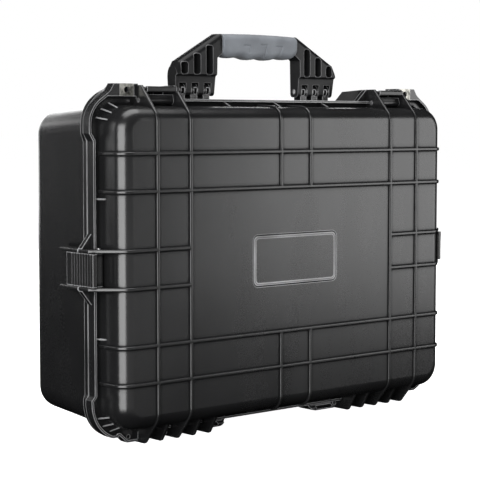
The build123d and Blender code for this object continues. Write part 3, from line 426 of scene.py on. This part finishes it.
def make_grip():
    """The rubber grip: three moulded finger marks in its front and back, and a fine flash line round it."""
    low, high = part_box("handle_grip")
    top = high.z
    marks = []
    for left, right, upper, lower, lean in GRIP_MARKS:
        corner = (right, top - upper)
        marks.append(((left, top - upper), corner))
        marks.append((corner, (right - lean, top - lower)))
    middle_y = (low.y + high.y) / 2

    def moulding(place, normal):
        cut = 0.0
        if abs(normal.y) > 0.4:
            near = min(to_line(place.x, place.z, a, b) for a, b in marks)
            cut = MARK_DEPTH * math.exp(-((near / MARK_SPREAD) ** 2))
        flash = FLASH_HEIGHT * math.exp(-(((place.y - middle_y) / FLASH_SPREAD) ** 2))
        return flash - cut + 0.00008 * wobble(place, 150.0, 7.0)

    mesh = remeshed("handle_grip", 0.0007 * COARSE, 2, moulding)
    piece = link_piece("grip_sleeve", mesh, GRIP, "handle")
    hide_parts("handle_grip")


def rounded_loop(half_x, half_z, radius, turns):
    """Points round a rounded rectangle in X and Z, with the outward direction at each."""
    points = []
    for quarter in range(4):
        sign_x = (1, -1, -1, 1)[quarter]
        sign_z = (1, 1, -1, -1)[quarter]
        for k in range(turns + 1):
            turn = math.pi / 2 * (quarter + k / turns)
            away = (math.cos(turn), math.sin(turn))
            x = sign_x * (half_x - radius) + radius * away[0]
            z = sign_z * (half_z - radius) + radius * away[1]
            points.append(((x, z), away))
    return points


def make_name_frame():
    """The low bead that frames the plain field in the middle of the lid."""
    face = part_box("lid_shell")[0].y + BEAD_BACK
    middle_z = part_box("base_shell")[0].z + FIELD_Z
    work = bmesh.new()
    rings = []
    for (x, z), away in rounded_loop(FIELD_HALF_X, FIELD_HALF_Z, FIELD_CORNER, 8):
        ring = []
        for k in range(7):
            turn = math.pi * k / 6
            across = -math.cos(turn) * BEAD_WIDTH / 2
            rise = math.sin(turn) * BEAD_PROUD - BEAD_FOOT
            place = (x + away[0] * across, face - rise, middle_z + z + away[1] * across)
            ring.append(work.verts.new(place))
        rings.append(ring)
    for k, ring in enumerate(rings):
        following = rings[(k + 1) % len(rings)]
        for j in range(len(ring)):
            other = (j + 1) % len(ring)
            work.faces.new((ring[j], ring[other], following[other], following[j]))
    link_piece("name_frame", made_mesh("name_frame", work), BEAD, "lid")


make_grip()
make_name_frame()


# ---------------------------------------------------------------- stage
def make_camera():
    """A standing photographer's view from the front left, a little above the case's middle."""
    low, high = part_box("lid_shell")
    front = Vector((0.0, low.y, (low.z + high.z) / 2))
    data = bpy.data.cameras.new("camera")
    data.lens = 117.6
    data.sensor_width = 36.0
    data.clip_end = 50.0
    camera = bpy.data.objects.new("camera", data)
    bpy.context.scene.collection.objects.link(camera)
    camera.location = front + Vector((-1.1578, -1.2524, 0.1452))
    yaw = math.radians(40.66)
    pitch = math.radians(4.27)
    aim = Vector((math.sin(yaw) * math.cos(pitch), math.cos(yaw) * math.cos(pitch), -math.sin(pitch)))
    camera.rotation_mode = "QUATERNION"
    camera.rotation_quaternion = aim.to_track_quat("-Z", "Y")
    bpy.context.scene.camera = camera


def soft_box(name, place, target, size, power):
    """A rectangular soft box that lights the case without being seen itself."""
    data = bpy.data.lights.new(name, "AREA")
    data.shape = "RECTANGLE"
    data.size, data.size_y = size
    data.energy = power
    light = bpy.data.objects.new(name, data)
    bpy.context.scene.collection.objects.link(light)
    light.location = place
    light.rotation_mode = "QUATERNION"
    light.rotation_quaternion = (Vector(target) - Vector(place)).to_track_quat("-Z", "Y")
    light.visible_camera = False


def make_floor():
    """A wide pale floor. It doesn't shine back into the case's sides."""
    mesh = bpy.data.meshes.new("floor")
    work = bmesh.new()
    bmesh.ops.create_grid(work, x_segments=1, y_segments=1, size=30.0)
    work.to_mesh(mesh)
    work.free()
    floor = bpy.data.objects.new("floor", mesh)
    bpy.context.scene.collection.objects.link(floor)
    s = Shader("floor_paint")
    color = s.mix(s.noise(3.0), (0.90, 0.90, 0.90), (0.93, 0.93, 0.93))
    mesh.materials.append(s.finish(color, 0.9, Emission_Color=(1, 1, 1, 1), Emission_Strength=1.0))
    floor.visible_diffuse = False
    floor.visible_glossy = False


def make_world():
    """A white backdrop that only the camera sees; the soft boxes do all the lighting."""
    world = bpy.data.worlds.new("world")
    bpy.context.scene.world = world
    world.use_nodes = True
    tree = world.node_tree
    tree.nodes.clear()
    output = tree.nodes.new("ShaderNodeOutputWorld")
    background = tree.nodes.new("ShaderNodeBackground")
    background.inputs["Color"].default_value = (1.0, 1.0, 1.0, 1)
    background.inputs["Strength"].default_value = 1.0
    tree.links.new(background.outputs[0], output.inputs[0])
    world.cycles_visibility.diffuse = False
    world.cycles_visibility.glossy = False


make_camera()
make_world()
make_floor()
soft_box("right_box", (1.18, -0.92, 0.36), (0.05, -0.08, 0.24), (0.90, 0.80), 8.7)
soft_box("left_strip", (-1.30, -0.80, 0.28), (-0.22, -0.08, 0.20), (1.3, 1.3), 44.0)
soft_box("top_box", (0.0, -0.35, 1.7), (0.0, -0.05, 0.2), (1.6, 1.0), 26.0)
soft_box("floor_bounce", (-0.2, -1.0, 0.02), (0.0, -0.08, 0.12), (1.8, 0.5), 1.8)
soft_box("side_fill", (-1.9, 1.2, 0.8), (-0.2, 0.0, 0.2), (1.2, 1.2), 8.0)
soft_box("back_fill", (0.6, 2.1, 0.7), (0.0, 0.1, 0.2), (3.2, 1.3), 45.0)
bpy.context.scene.view_settings.view_transform = "Standard"
